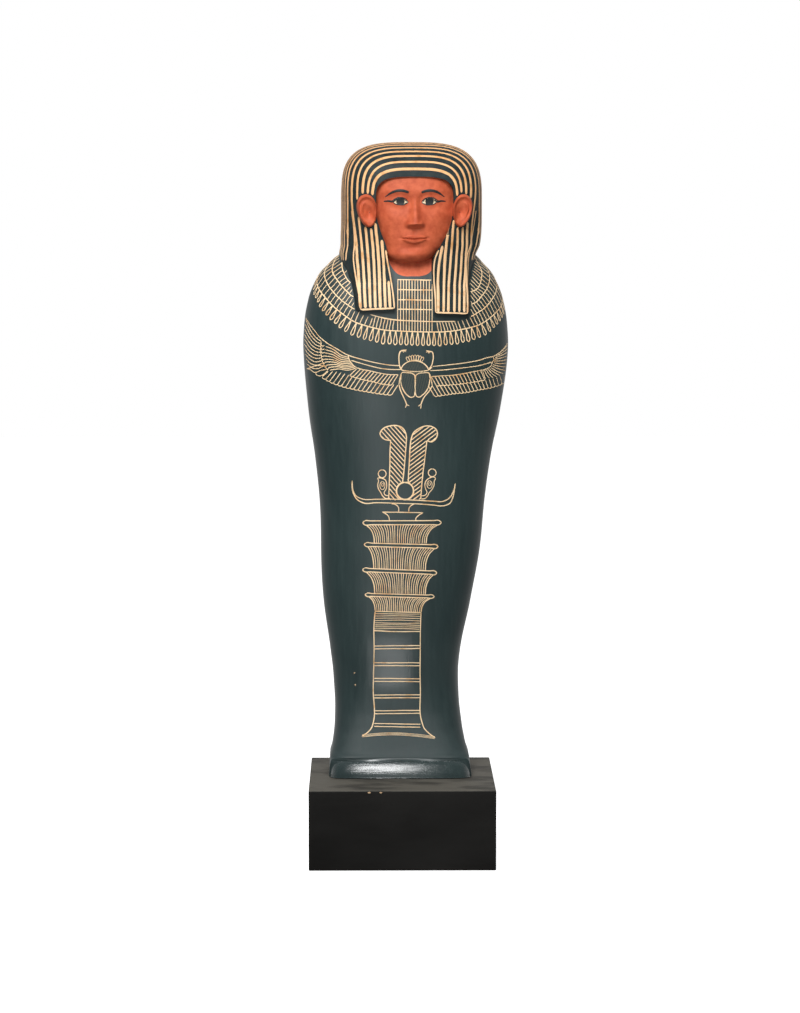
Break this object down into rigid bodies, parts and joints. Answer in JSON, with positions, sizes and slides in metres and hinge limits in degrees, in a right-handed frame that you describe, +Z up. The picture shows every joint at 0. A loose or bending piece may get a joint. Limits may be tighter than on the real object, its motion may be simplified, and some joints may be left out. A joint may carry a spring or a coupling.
{
  "type": "ptah-sokar-osiris figure",
  "caption": "Painted wooden mummiform figure with a gold-striped wig, red face and yellow line ornament, standing on a black wooden block plinth.",
  "frame": {"origin": "centre of the plinth's underside", "axes": "+Z up, +X to the viewer's right, -Y towards the front that the figure faces"},
  "size_m": [0.1923, 0.18, 0.664],
  "materials": {
    "figure_paint": "satin dark green-grey paint with pale yellow brushed lines, a gold-striped wig and a matt red face",
    "plinth_paint": "satin black paint, slightly brushed, with two small chips on the front top edge"
  },
  "bodies": {
    "root": {"mummiform_figure": "figure_paint", "plinth": "plinth_paint"}
  },
  "joints": []
}
